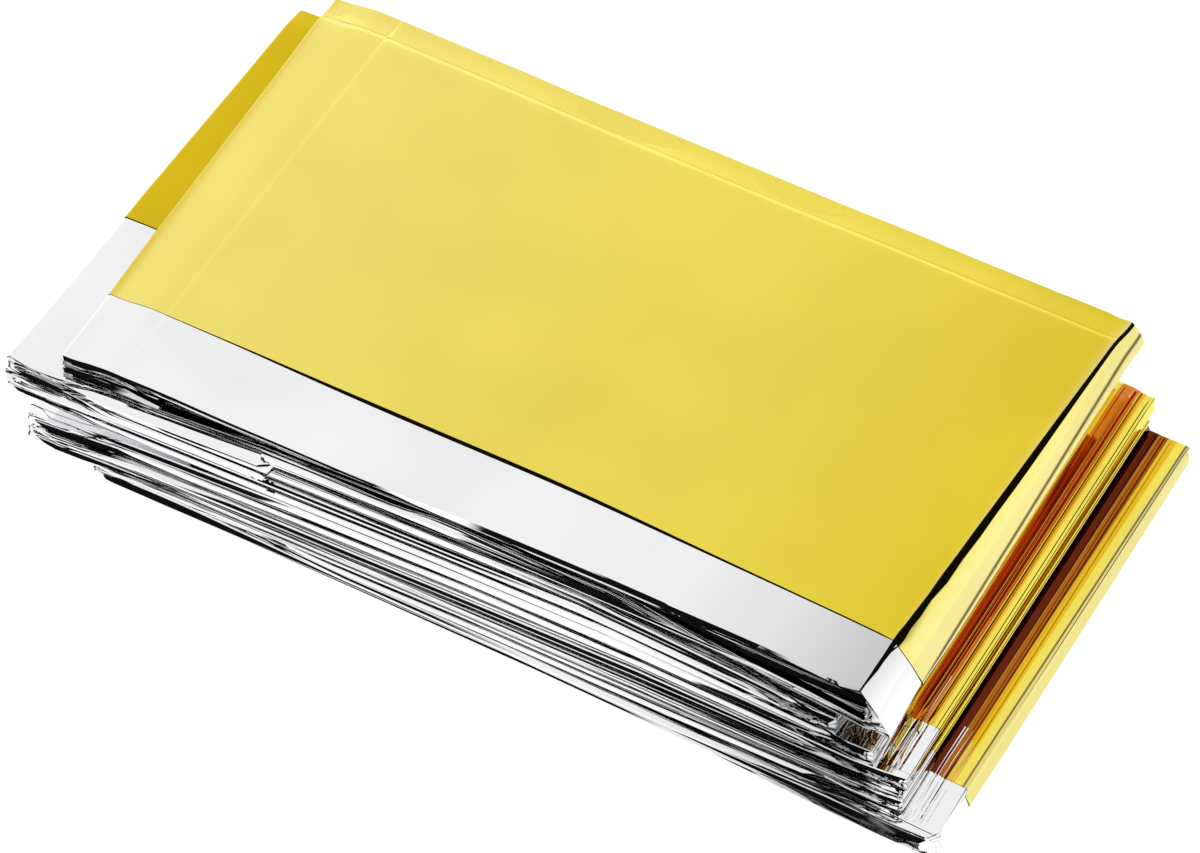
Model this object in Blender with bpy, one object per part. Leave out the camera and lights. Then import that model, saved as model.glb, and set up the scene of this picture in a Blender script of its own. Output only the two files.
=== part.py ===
"""Emergency foil blanket, folded and lying as it comes out of its pouch.

One film of 2.1 m by 1.6 m, gold on one side and silver on the other, is pleated lengthwise into a
strip one pleat wide. The strip, a wad of 26 films, is then folded back and forth into 12 panels and
its first few millimetres are tucked under the top panel. This script models the strip as one solid
that turns at every fold. The wad spreads to fill the height of the pack, so its thickness follows
from the pack's height, and neighbouring panels stay LAYER_GAP apart.

Lengths are in millimetres until the mesh is made. X runs along the panels, with left and right
folds at its ends. `front` counts forwards from the middle of the top panel, against Y. Z is up.
"""

import math

import bmesh
import bpy
import numpy as np

MM = 0.001

# Driving sizes, in millimetres
PANEL_LENGTH = 132.5
STRIP_WIDTH = 81.9
LAYER_GAP = 0.32
TUCK_LENGTH = 7.0
FILMS_IN_STRIP = 26
FLAP_SHORT_OF_FRONT = (14.0, 11.5)  # the outer films' cut edge to the strip's edge, left and right
PANELS = 12
TUCKED = 12  # the place of the tucked end in a list of the panels

# Height of the top face above the surface it lies on, at the corners of the top panel
TOP_BACK_LEFT = 19.5
TOP_BACK_RIGHT = 21.0
TOP_FRONT_LEFT = 21.6
TOP_FRONT_RIGHT = 24.2
FRONT_RIGHT_DROOP = 2.4  # how far the pack has sunk at its front right corner
DROOP_REACH = 60  # how far in from the right the pack has sunk

# The top panel falls away outside two old creases beside its back and left edges
BACK_CREASE_INSET = 5.5
BACK_CREASE_FALL = 0.8
LEFT_CREASE_INSET = 7.0
LEFT_CREASE_FALL = 1.0

# The folds, from the top panel down, at their back and front corners. tip: how far the fold reaches
# along X, less than 0 for a left fold. drift: how far forward of the top panel the strip lies there.
# cut: how far a crushed front corner draws in. opened: the air inside the fold, beyond LAYER_GAP, and
# reach: how far in it goes.
FOLDS = [
    {"tip": (67.8, 70.1), "drift": (-0.8, -0.5), "cut": 0.0, "opened": (1.5, 6.0), "reach": 60},
    {"tip": (-71.5, -75.6), "drift": (0.8, 0.6), "cut": 0.0, "opened": (0.0, 0.5), "reach": 45},
    {"tip": (60.0, 61.7), "drift": (0.5, 0.6), "cut": 0.5, "opened": (0.1, 0.1), "reach": 30},
    {"tip": (-69.5, -76.0), "drift": (1.2, 1.2), "cut": 0.0, "opened": (0.0, 0.6), "reach": 40},
    {"tip": (64.3, 67.6), "drift": (1.2, 0.8), "cut": 0.0, "opened": (0.1, 0.1), "reach": 30},
    {"tip": (-68.0, -71.9), "drift": (1.6, 1.2), "cut": 0.0, "opened": (0.0, 0.4), "reach": 35},
    {"tip": (70.9, 73.4), "drift": (1.9, 1.2), "cut": 0.0, "opened": (0.2, 0.1), "reach": 30},
    {"tip": (-66.5, -71.5), "drift": (2.2, 1.8), "cut": 0.0, "opened": (0.0, 0.3), "reach": 35},
    {"tip": (71.1, 73.9), "drift": (3.8, 3.3), "cut": 0.0, "opened": (0.2, 0.1), "reach": 30},
    {"tip": (-60.0, -61.0), "drift": (1.6, 1.5), "cut": 0.0, "opened": (0.0, 0.2), "reach": 30},
    {"tip": (77.4, 80.9), "drift": (3.2, 6.1), "cut": 2.2, "opened": (0.6, 2.0), "reach": 45},
]
FIRST_END = {"tip": (-66.9, -67.7), "drift": (-1.6, -2.2), "cut": 0.0}  # the fold above the tuck
LAST_END = {"tip": (-53.0, -52.0), "drift": (1.2, 1.0), "cut": 1.0}  # the strip's free end below
CORNER_FROM = 0.95  # the share of the strip's width at which a crushed front corner starts
CURVED_TO = 10  # the panel whose edges swing out to the lowest right fold; the next swings back

# Panels also part between two folds of the same side, below the fold with that row number
MOUTHS = [
    {"below": 0, "side": "right", "opened": (0.7, 0.0), "reach": 30},
    {"below": 2, "side": "right", "opened": (0.4, 0.0), "reach": 30},
    {"below": 3, "side": "left", "opened": (0.3, 3.0), "reach": 35},
    {"below": 4, "side": "right", "opened": (0.6, 0.1), "reach": 30},
    {"below": 8, "side": "right", "opened": (0.5, 0.1), "reach": 30},
]

# How finely the solid is cut up
ACROSS = (0.0, 0.012, 0.035, 0.067, 0.22, 0.42, 0.62, 0.838, 0.851, 0.93, 0.957, 0.986, 1.0)
EDGE_ROUNDING = {0: 0.5, 1: 0.85, -1: 0.5, -2: 0.85}  # thickness left at the strip's long edges
FLAP_EDGE = (7, 8)  # the stations on either side of the outer films' cut edge
ALONG_PANEL = (0.05, 0.16, 0.36, 0.6, 0.82, 0.95)
STEPS_A_CORNER = 3

HALF_LENGTH = PANEL_LENGTH / 2
HALF_WIDTH = STRIP_WIDTH / 2
SLOPE_OF_OPEN_FOLD = 0.9  # how far an opened fold leans out for each millimetre that it is opened

FOLD_ROUNDNESS = 0.995  # of the largest radius that a closed fold has room for
TUCK_ROOM_ENDS = 15.4  # how far in from the left the room for the tucked end has closed up
RESTING = 0.06  # what is this close to the surface below lies on it
CREASE_ANGLE = 40  # degrees

GOLD = (0.85, 0.62, 0.07, 1.0)
ROUGHNESS = 0.12


def blend(start, end, share):
    """The value that share of the way from start to end."""
    return start + (end - start) * share


def smooth(value, start, end):
    """0 before start, 1 after end, and a soft step between them."""
    share = min(max((value - start) / (end - start), 0.0), 1.0)
    return share * share * (3 - 2 * share)


def top_height(x, front):
    """Height of the pack's top face, before it falls away outside the two creases."""
    along = (x + HALF_LENGTH) / PANEL_LENGTH
    back_edge = blend(TOP_BACK_LEFT, TOP_BACK_RIGHT, along)
    near_right = min(max(1 - (HALF_LENGTH - x) / DROOP_REACH, 0.0), 1.0)
    front_edge = blend(TOP_FRONT_LEFT, TOP_FRONT_RIGHT, along) - FRONT_RIGHT_DROOP * near_right**2
    forward = (front + HALF_WIDTH) / STRIP_WIDTH
    return blend(back_edge, front_edge, forward)


def crease_fall(x, front):
    """How far the pack has fallen away there, outside the two creases."""
    back = BACK_CREASE_FALL * smooth(-front, HALF_WIDTH - BACK_CREASE_INSET, HALF_WIDTH)
    left = LEFT_CREASE_FALL * smooth(-x, HALF_LENGTH - LEFT_CREASE_INSET, HALF_LENGTH)
    return back + left


def air_gaps(x, front):
    """Air between each panel and the next one down, beyond LAYER_GAP, from the top."""
    forward = min(max((front + HALF_WIDTH) / STRIP_WIDTH, 0.0), 1.0)
    air = [0.0] * len(FOLDS)
    openings = [(row, fold["tip"][0] > 0, fold) for row, fold in enumerate(FOLDS)]
    openings += [(mouth["below"] + 1, mouth["side"] == "right", mouth) for mouth in MOUTHS]
    for row, on_right, opening in openings:
        inside = HALF_LENGTH - x if on_right else HALF_LENGTH + x
        share = min(max(1 - inside / opening["reach"], 0.0), 1.0)
        air[row] += blend(*opening["opened"], forward) * share**2
    return air


def stack(x, front):
    """The strip's thickness there, and the heights of the middles of all the panels from the top.
    A last height is for the tucked end, which lies under the top panel."""
    air = air_gaps(x, front)
    top = top_height(x, front) - crease_fall(x, front)
    room_left = 1 - smooth(x, TUCK_LENGTH - HALF_LENGTH, TUCK_ROOM_ENDS - HALF_LENGTH)
    free = top - LAYER_GAP * (PANELS - 1 + room_left) - sum(air)
    thick = free / (PANELS + room_left)
    pitch = thick + LAYER_GAP
    heights = [top - thick / 2]
    for panel in range(1, PANELS):
        heights.append(thick / 2 + (PANELS - 1 - panel) * pitch + sum(air[panel:]))
    heights.append(top - thick / 2 - pitch)
    return thick, heights


def at_corner(end, key, across):
    """A fold's tip or drift at a share across the strip, from back to front."""
    value = blend(*end[key], across)
    if key == "tip":
        value -= math.copysign(end["cut"] * smooth(across, CORNER_FROM, 1.0), value)
    return value


def rounded(before, corner, after, radius):
    """Points of an arc that replaces the corner between two straight lines."""
    into = corner - before
    out_of = after - corner
    into = into / np.linalg.norm(into)
    out_of = out_of / np.linalg.norm(out_of)
    turn = math.acos(float(into @ out_of))
    side = math.copysign(1.0, into[0] * out_of[1] - into[1] * out_of[0])
    start = corner - into * radius * math.tan(turn / 2)
    centre = start + side * radius * np.array([-into[1], into[0]])
    points = []
    for step in range(STEPS_A_CORNER + 1):
        angle = side * turn * step / STEPS_A_CORNER
        c, s = math.cos(angle), math.sin(angle)
        spoke = start - centre
        points.append(centre + np.array([c * spoke[0] - s * spoke[1], s * spoke[0] + c * spoke[1]]))
    return points


def turn_points(upper, lower, tip, front):
    """(x, front, z) points of the strip's middle as it turns at a tip from one panel, by its number
    in the stack, down to another."""
    outwards = math.copysign(1.0, tip)
    thick, _ = stack(tip, front)
    x = tip - outwards * thick / 2
    _, heights = stack(x, front)
    opened = max(heights[upper] - heights[lower] - thick - LAYER_GAP, 0.0)
    upper_x = x - outwards * SLOPE_OF_OPEN_FOLD * opened
    _, upper_heights = stack(upper_x, front)
    upper_corner = np.array([upper_x, upper_heights[upper]])
    lower_corner = np.array([x, heights[lower]])
    inwards = np.array([-outwards * PANEL_LENGTH, 0.0])
    radius = FOLD_ROUNDNESS * (thick + LAYER_GAP) / 2
    arc = rounded(upper_corner + inwards, upper_corner, lower_corner, radius)
    arc += rounded(upper_corner, lower_corner, lower_corner + inwards, radius)
    return [(px, front, pz) for px, pz in arc]


def front_along(fronts, panel, share):
    """The front coordinate at a share along a panel whose two folds lie at those fronts."""
    if panel == CURVED_TO:
        return blend(fronts[panel], fronts[panel + 1], share**2)
    if panel == CURVED_TO + 1:
        return blend(fronts[panel + 1], fronts[panel], (1 - share) ** 2)
    return blend(fronts[panel], fronts[panel + 1], share)


def strip_middle(across, follows_flap):
    """(x, front, z) points of the middle of the strip's thickness, from its tucked end to its free
    end, at a share across from its back edge to its front edge."""
    edge = -HALF_WIDTH + across * STRIP_WIDTH
    ends = [FIRST_END, *FOLDS, LAST_END]
    tips = [at_corner(end, "tip", across) for end in ends]
    fronts = [edge + at_corner(end, "drift", across) for end in ends]
    tuck_x = TUCK_LENGTH - HALF_LENGTH
    tuck_half_x = (tuck_x + tips[0]) / 2
    points = [(x, fronts[0], stack(x, fronts[0])[1][TUCKED]) for x in (tuck_x, tuck_half_x)]
    points += reversed(turn_points(0, TUCKED, tips[0], fronts[0]))
    for panel in range(PANELS):
        for share in ALONG_PANEL:
            x = blend(tips[panel], tips[panel + 1], share)
            front = front_along(fronts, panel, share)
            points.append((x, front, stack(x, front)[1][panel]))
        if panel < PANELS - 1:
            points += turn_points(panel, panel + 1, tips[panel + 1], fronts[panel + 1])
    points.append((tips[-1], fronts[-1], stack(tips[-1], fronts[-1])[1][PANELS - 1]))
    points = np.array(points)
    if follows_flap:
        along = np.clip(points[:, 0] / PANEL_LENGTH, -0.5, 0.5)
        points[:, 1] += along * (FLAP_SHORT_OF_FRONT[0] - FLAP_SHORT_OF_FRONT[1])
    return points


def section(station):
    """The strip's two faces at a station across it, as (x, front, z) points along the strip."""
    middle = strip_middle(ACROSS[station], station in FLAP_EDGE)
    steps = np.diff(middle, axis=0)[:, [0, 2]]
    steps /= np.linalg.norm(steps, axis=1)[:, None]
    heading = np.vstack([steps[:1], steps[:-1] + steps[1:], steps[-1:]])
    heading /= np.linalg.norm(heading, axis=1)[:, None]
    normal = np.stack([-heading[:, 1], np.zeros(len(heading)), heading[:, 0]], axis=1)
    films_left = FILMS_IN_STRIP if station < FLAP_EDGE[1] else FILMS_IN_STRIP - 2
    full = EDGE_ROUNDING.get(station, EDGE_ROUNDING.get(station - len(ACROSS), 1.0))
    half = np.array([stack(x, front)[0] for x, front, _ in middle]) / 2
    offset = normal * (half * full * films_left / FILMS_IN_STRIP)[:, None]
    return middle + offset, middle - offset


def film_material(name, colour):
    """Metallised film of that colour."""
    material = bpy.data.materials.new(name)
    material.use_nodes = True
    shader = material.node_tree.nodes["Principled BSDF"]
    shader.inputs["Base Color"].default_value = colour
    shader.inputs["Metallic"].default_value = 1.0
    shader.inputs["Roughness"].default_value = ROUGHNESS
    return material


def foil_blanket():
    """The whole strip as one closed solid."""
    sections = [section(station) for station in range(len(ACROSS))]
    rings = np.array([np.vstack([one_face, other_face[::-1]]) for one_face, other_face in sections])
    low, high = rings.min(axis=(0, 1)), rings.max(axis=(0, 1))
    middle = (low + high) / 2
    rings[:, :, 2] = np.where(rings[:, :, 2] < RESTING, 0.0, rings[:, :, 2])
    x, y, z = rings[:, :, 0] - middle[0], middle[1] - rings[:, :, 1], rings[:, :, 2]
    corners = np.stack([x, y, z], axis=2) * MM

    body = bmesh.new()
    rows = [[body.verts.new(corner) for corner in ring] for ring in corners]
    count = len(rows[0])
    for row, following in zip(rows, rows[1:]):
        for k in range(count):
            after = (k + 1) % count
            body.faces.new((row[k], row[after], following[after], following[k]))
    for row in (rows[0], rows[-1]):
        for k in range(count // 2 - 1):
            body.faces.new((row[k], row[k + 1], row[count - 2 - k], row[count - 1 - k]))
    bmesh.ops.recalc_face_normals(body, faces=body.faces)
    mesh = bpy.data.meshes.new("foil_blanket")
    body.to_mesh(mesh)
    body.free()
    mesh.materials.append(film_material("gold_film", GOLD))
    mesh.shade_smooth()
    mesh.set_sharp_from_angle(angle=math.radians(CREASE_ANGLE))
    blanket = bpy.data.objects.new("foil_blanket", mesh)
    bpy.context.scene.collection.objects.link(blanket)


for old in list(bpy.data.objects):
    bpy.data.objects.remove(old)
foil_blanket()
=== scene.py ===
import math
from typing import NamedTuple

import bpy
import numpy as np
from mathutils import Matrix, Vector


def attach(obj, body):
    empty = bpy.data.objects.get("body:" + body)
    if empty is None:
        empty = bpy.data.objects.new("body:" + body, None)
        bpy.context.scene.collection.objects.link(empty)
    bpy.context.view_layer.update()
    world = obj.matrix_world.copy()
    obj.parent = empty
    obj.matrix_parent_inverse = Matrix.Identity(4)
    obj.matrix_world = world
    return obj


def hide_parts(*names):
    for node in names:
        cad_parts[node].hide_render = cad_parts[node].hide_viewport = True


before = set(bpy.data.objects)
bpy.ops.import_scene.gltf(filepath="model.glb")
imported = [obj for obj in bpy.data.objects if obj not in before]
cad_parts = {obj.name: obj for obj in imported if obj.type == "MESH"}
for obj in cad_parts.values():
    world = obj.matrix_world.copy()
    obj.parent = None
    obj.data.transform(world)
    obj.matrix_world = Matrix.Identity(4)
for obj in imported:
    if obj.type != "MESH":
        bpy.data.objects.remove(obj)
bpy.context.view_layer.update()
scene = bpy.context.scene

# An emergency foil blanket, folded as it comes out of its pouch. One film, gold on one side and
# silver on the other, is pleated lengthwise into a strip of 26 films, and the strip is folded back
# and forth into 12 panels. This is that film, through all its pleats and folds.
#
# Lengths are in millimetres until the mesh is made. X runs along the panels, `front` counts
# forwards from the middle of the top panel, against Y, and Z is up from the surface below. A `share`
# across the strip runs from 0 at its back edge to 1 at its front edge.

# ---- The part's own sizes and folds ----
MM = 0.001
PANEL_LENGTH = 132.5
STRIP_WIDTH = 81.9
HALF_LENGTH = PANEL_LENGTH / 2
HALF_WIDTH = STRIP_WIDTH / 2
LAYER_GAP = 0.32
TUCK_LENGTH = 7.0
TUCK_ROOM_ENDS = 15.4  # how far in from the left the room for the tucked end has closed up
FLAP_SHORT_OF_FRONT = (14.0, 11.5)  # the upper flap's cut edge to the strip's edge, left and right
LOWER_FLAP_SHORT = 33.0
PANELS = 12
TUCKED = 12  # the place of the tucked end in a list of the panels
FILMS = 26

# height of the top face at the corners of the top panel, and how it has sunk at the front right
TOP_BACK_LEFT, TOP_BACK_RIGHT = 19.5, 21.0
TOP_FRONT_LEFT, TOP_FRONT_RIGHT = 21.6, 24.2
FRONT_RIGHT_DROOP, DROOP_REACH = 2.4, 60

# the top panel falls away outside two old creases beside its back and left edges
BACK_CREASE_INSET, BACK_CREASE_FALL = 5.5, 0.8
LEFT_CREASE_INSET, LEFT_CREASE_FALL = 7.0, 1.0

MIDDLE_X, MIDDLE_FRONT = 2.3064, 2.25  # the middle of the whole pack's box

# The folds, from the top panel down, at their back and front corners. tip: how far the fold reaches
# along X, less than 0 for a left fold. drift: how far forward of the top panel the strip lies there.
# opened: the air inside the fold, beyond LAYER_GAP, and reach: how far in it goes. cut: how far a
# crushed front corner draws in, from the share cut_from of the strip's width.
FOLDS = [
    {"tip": (67.8, 70.1), "drift": (-0.8, -0.5), "opened": (1.5, 6.0), "reach": 60},
    {"tip": (-71.5, -75.6), "drift": (0.8, 0.6), "opened": (0.0, 0.5), "reach": 45},
    {"tip": (60.0, 61.7), "drift": (0.5, 0.6), "opened": (0.1, 0.1), "reach": 30, "cut": 0.5},
    {"tip": (-69.5, -76.0), "drift": (1.2, 1.2), "opened": (0.0, 0.6), "reach": 40},
    {"tip": (64.3, 67.6), "drift": (1.2, 0.8), "opened": (0.1, 0.1), "reach": 30},
    {"tip": (-68.0, -71.9), "drift": (1.6, 1.2), "opened": (0.0, 0.4), "reach": 35},
    {"tip": (70.9, 73.4), "drift": (1.9, 1.2), "opened": (0.2, 0.1), "reach": 30},
    {"tip": (-66.5, -71.5), "drift": (2.2, 1.8), "opened": (0.0, 0.3), "reach": 35},
    {"tip": (71.1, 73.9), "drift": (3.8, 3.3), "opened": (0.2, 0.1), "reach": 30},
    {"tip": (-60.0, -61.0), "drift": (1.6, 1.5), "opened": (0.0, 0.2), "reach": 30},
    {"tip": (77.4, 80.9), "drift": (3.2, 6.1), "opened": (0.6, 2.0), "reach": 45,
     "cut": 2.2, "cut_from": 0.968},
]
FIRST_END = {"tip": (-66.9, -67.7), "drift": (-1.6, -2.2)}  # the fold above the tuck
LAST_END = {"tip": (-53.0, -52.0), "drift": (1.2, 1.0), "cut": 1.0}  # the strip's free end below
ENDS = [FIRST_END, *FOLDS, LAST_END]  # panel 0 runs from the first of these to the second, and so on
CORNER_FROM = 0.95
CURVED_TO = 10  # the panel whose edges swing out to the lowest right fold; the next swings back

# panels also part between two folds of the same side, below the fold with that row number
MOUTHS = [
    {"below": 0, "side": "right", "opened": (0.7, 0.0), "reach": 30},
    {"below": 2, "side": "right", "opened": (0.4, 0.0), "reach": 30},
    {"below": 3, "side": "left", "opened": (0.3, 3.0), "reach": 35},
    {"below": 4, "side": "right", "opened": (0.6, 0.1), "reach": 30},
    {"below": 8, "side": "right", "opened": (0.5, 0.1), "reach": 30},
]


def blend(start, end, share):
    """The value that share of the way from start to end."""
    return start + (end - start) * share


def smooth(value, start, end):
    """0 before start, 1 after end, and a soft step between them."""
    share = np.clip((value - start) / (end - start), 0.0, 1.0)
    return share * share * (3 - 2 * share)


def air_in(opening, on_right, x, front):
    """The air in one fold or mouth."""
    forward = np.clip((front + HALF_WIDTH) / STRIP_WIDTH, 0.0, 1.0)
    inside = HALF_LENGTH - x if on_right else HALF_LENGTH + x
    share = np.clip(1 - inside / opening["reach"], 0.0, 1.0)
    return blend(*opening["opened"], forward) * share**2


def fold_air(fold, x, front):
    return air_in(FOLDS[fold], FOLDS[fold]["tip"][0] > 0, x, front)


def air_gaps(x, front):
    """Air between each panel and the next one down, beyond LAYER_GAP, from the top."""
    air = [fold_air(fold, x, front) for fold in range(len(FOLDS))]
    for mouth in MOUTHS:
        gap = mouth["below"] + 1
        air[gap] = air[gap] + air_in(mouth, mouth["side"] == "right", x, front)
    return air


def tuck_room(x):
    """1 over the tucked end, 0 where the room for it has closed up."""
    return 1 - smooth(x, TUCK_LENGTH - HALF_LENGTH, TUCK_ROOM_ENDS - HALF_LENGTH)


def stack(x, front):
    """The strip's thickness, and the heights of the panels' middles from the top. A last height is
    for the tucked end, which lies under the top panel."""
    air = air_gaps(x, front)
    along = (x + HALF_LENGTH) / PANEL_LENGTH
    forward = (front + HALF_WIDTH) / STRIP_WIDTH
    near_right = np.clip(1 - (HALF_LENGTH - x) / DROOP_REACH, 0.0, 1.0)
    front_top = blend(TOP_FRONT_LEFT, TOP_FRONT_RIGHT, along) - FRONT_RIGHT_DROOP * near_right**2
    top = blend(blend(TOP_BACK_LEFT, TOP_BACK_RIGHT, along), front_top, forward)
    top = top - BACK_CREASE_FALL * smooth(-front, HALF_WIDTH - BACK_CREASE_INSET, HALF_WIDTH)
    top = top - LEFT_CREASE_FALL * smooth(-x, HALF_LENGTH - LEFT_CREASE_INSET, HALF_LENGTH)
    tuck = tuck_room(x)
    thick = (top - LAYER_GAP * (PANELS - 1 + tuck) - sum(air)) / (PANELS + tuck)
    pitch = thick + LAYER_GAP
    heights = [top - thick / 2]
    for panel in range(1, PANELS):
        heights.append(thick / 2 + (PANELS - 1 - panel) * pitch + sum(air[panel:]))
    heights.append(top - thick / 2 - pitch)
    return thick, heights


def tip_x(fold, share):
    """Where the outermost film of a fold reaches. A crushed front corner draws in."""
    end = ENDS[fold]
    share = np.clip(share, 0, 1)
    tip = blend(*end["tip"], share)
    cut_from = end.get("cut_from", CORNER_FROM)
    return tip - np.sign(tip) * end.get("cut", 0.0) * np.clip((share - cut_from) / (1 - cut_from), 0, 1)


def front_of(fold, share):
    return -HALF_WIDTH + share * STRIP_WIDTH + blend(*ENDS[fold]["drift"], np.clip(share, 0, 1))


def front_along(panel, share, place):
    """The front coordinate at a place along a panel. The two lowest swing out to their right fold."""
    if panel == CURVED_TO:
        return blend(front_of(panel, share), front_of(panel + 1, share), place**2)
    if panel == CURVED_TO + 1:
        return blend(front_of(panel + 1, share), front_of(panel, share), (1 - place) ** 2)
    return blend(front_of(panel, share), front_of(panel + 1, share), place)


# ---- The rows of the film's grid ----
# The rows are places along the strip, from the tucked end to the free end: a row is on a panel, at
# a share of its length, or on the turn below it. The columns are lines along the strip: each is on
# one film, or on a pleat between two films. The outermost films have more rows than the rest.
EVERY_FILM, UPPER_FILMS, LOWER_FILMS = 0, 1, 2
ARC_STEPS = 3  # the faces round one crease
TUCK_SHARES = (0.0, 0.3, 0.6, 0.8)
PANEL_SHARES = (0.028, 0.06, 0.12, 0.3, 0.5, 0.7, 0.88, 0.94, 0.972)
TOP_PANEL_SHARES = np.linspace(0.012, 0.985, 75)
# a turn has two creases, each an arc, and a leg between them
MIDDLE_OF_TURN = ("leg", 0.40)
TURN_PLACES = [("first", step) for step in range(ARC_STEPS + 1)]
TURN_PLACES += [MIDDLE_OF_TURN, ("leg", 0.56)]
TURN_PLACES += [("last", step) for step in range(ARC_STEPS + 1)]

# Two old creases of the top panel are fine grooves. The left one lies so far inside the panel's left
# end, and slants by so much. GROOVE_ROWS gives places across it and how far the film is lifted.
LEFT_GROOVE, LEFT_GROOVE_SLANT, SLANT_REACH = 11.2, 1.7, 8
BACK_GROOVE_STATION = 0.062
GROOVE_DEPTH = 0.10
GROOVE_ROWS = ((-0.9, 0.0), (-0.13, 0.02), (0.0, -GROOVE_DEPTH), (0.13, 0.0), (0.9, 0.0))
TOP_PANEL_RUN = 135  # roughly how far a film runs along the top panel, and along others
PANEL_RUN = PANEL_LENGTH + 4

# Ledges are low steps in a panel's upward side, beside its turn. The ranges are for random draws: a
# ledge's height, and for that height, the run of its slope and the height at the slope's foot.
NEAREST_LEDGE, LEDGES_END, SHORTEST_LEDGE = 1.1, 0.5, 0.22
LEDGE_HEIGHT = (0.12, 0.34)
SLOPE_RUN = (0.3, 0.9)
SLOPE_FOOT = (0.35, 0.9)
DROP_RUN = 0.08
RIGHT_LEDGES, RIGHT_LEDGES_REACH = 15, 11.0
LEFT_LEDGES, LEFT_LEDGES_REACH = 4, 2.5
PANELS_WITH_LEFT_LEDGES = (3, 7, 9)

# A pleat of the second and third panels stands out as a loop, from near their left fold to a sharp
# end at this X. For both panels: the X where the panel starts, and how far it runs.
LOOP_END_X = -31.0
LOOP_PANELS = {1: (68.9, -142.4), 2: (-73.5, 134.4)}
LOOP_END_ROWS = (-0.2, 0.2)

ledge_rng = np.random.RandomState(5)


class Row(NamedTuple):
    kind: str  # "tuck", "panel" or "turn"; a turn has the number of the panel before it
    panel: int
    place: object  # a share of the length, or one of TURN_PLACES
    films: int = EVERY_FILM  # which films have the row
    lift: float = 0.0
    sharp: bool = False


def ledge_rows(panel, films, reach, count):
    """The rows of one panel's ledges, so far in from its turn and lifted by so much."""
    starts = np.sort(ledge_rng.uniform(NEAREST_LEDGE, reach, count))[::-1]
    ledges = []
    for start, end in zip(starts, [*starts[1:], LEDGES_END]):
        height = ledge_rng.uniform(*LEDGE_HEIGHT)
        run = height * ledge_rng.uniform(*SLOPE_RUN)
        room = start - end
        if room < SHORTEST_LEDGE:
            continue
        foot = ledge_rng.uniform(*SLOPE_FOOT) * height
        slope_end = end + DROP_RUN + min(run, 0.4 * room)
        ledges += [(start, height), (slope_end, foot), (end + DROP_RUN, 0.0)]
    return [Row("panel", panel, 1 - inside / PANEL_RUN, films, lift, True) for inside, lift in ledges]


def panel_rows(panel):
    found = [Row("panel", panel, share) for share in PANEL_SHARES]
    if panel == 0:
        found += [Row("panel", 0, share, UPPER_FILMS) for share in TOP_PANEL_SHARES]
        for across, lift in GROOVE_ROWS:
            found.append(Row("panel", 0, (LEFT_GROOVE + across) / TOP_PANEL_RUN, UPPER_FILMS, lift))
    elif panel % 2 == 0 and panel < PANELS - 1:
        found += ledge_rows(panel, UPPER_FILMS, RIGHT_LEDGES_REACH, RIGHT_LEDGES)
    elif panel in PANELS_WITH_LEFT_LEDGES:
        found += ledge_rows(panel, LOWER_FILMS, LEFT_LEDGES_REACH, LEFT_LEDGES)
    if panel in LOOP_PANELS:
        start, run = LOOP_PANELS[panel]
        found += [Row("panel", panel, (LOOP_END_X - start + past) / run) for past in LOOP_END_ROWS]
    return sorted(found, key=lambda row: row.place)


rows = [Row("tuck", 0, share) for share in TUCK_SHARES]
rows += [Row("turn", -1, place) for place in TURN_PLACES]
for panel in range(PANELS):
    rows += panel_rows(panel)
    if panel < PANELS - 1:
        rows += [Row("turn", panel, place) for place in TURN_PLACES]
rows.append(Row("panel", PANELS - 1, 1.0))
ALONG = len(rows)


def rough_x(row):
    if row.kind == "tuck":
        return blend(TUCK_LENGTH - HALF_LENGTH, tip_x(0, 0.5), row.place)
    if row.kind == "turn":
        return tip_x(row.panel + 1, 0.5)
    return blend(tip_x(row.panel, 0.5), tip_x(row.panel + 1, 0.5), row.place)


def turned(row):
    """How far through the turn to the next panel a row is, from 0 to 1."""
    if row.kind != "turn" or row.panel < 0:
        return 0.0
    return (TURN_PLACES.index(row.place) + 0.5) / len(TURN_PLACES)


def lies_on(row):
    """The panel on which a row lies, or -1. A turn's last crease counts as on the next panel."""
    if row.kind == "panel":
        return row.panel
    if row.kind == "turn" and row.place[0] == "last":
        return row.panel + 1
    return -1


row_x = np.array([rough_x(row) for row in rows])
row_panel = np.array([max(row.panel, 0) for row in rows])
row_turned = np.array([turned(row) for row in rows])
row_next = np.minimum(row_panel + (row_turned > 0), PANELS - 1)
on_panel = np.array([lies_on(row) for row in rows])
TURN_REACH = 7.0  # how far from a turn the pleats grow uneven
ROW_STEP = 0.25  # a length for the step between two rows at the same X
arc = np.concatenate([[0.0], np.cumsum(np.hypot(np.diff(row_x), ROW_STEP))])
turn_arc = arc[[row.kind == "turn" and row.place == MIDDLE_OF_TURN for row in rows]]
from_turn = np.abs(arc[:, None] - turn_arc[None, :])
near_turn = np.exp(-from_turn.min(axis=1) / TURN_REACH)
# how far from each turn the front edges are drawn into broad slanting pleats
HOLLOW_REACH = (10.0, 42.0, 24.0, 18.0, 18.0, 16.0, 24.0, 16.0, 30.0, 16.0, 46.0, 40.0)
hollow = 1 - smooth((from_turn / np.array(HOLLOW_REACH)).min(axis=1), 0.35, 1.0)


def along_panels(values):
    """One value for each panel, carried along the strip and eased across the turns."""
    values = np.asarray(values, dtype=float)
    return blend(values[row_panel], values[row_next], smooth(row_turned, 0.0, 1.0))


top_panel = along_panels([1.0] + [0.0] * (PANELS - 1))


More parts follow.
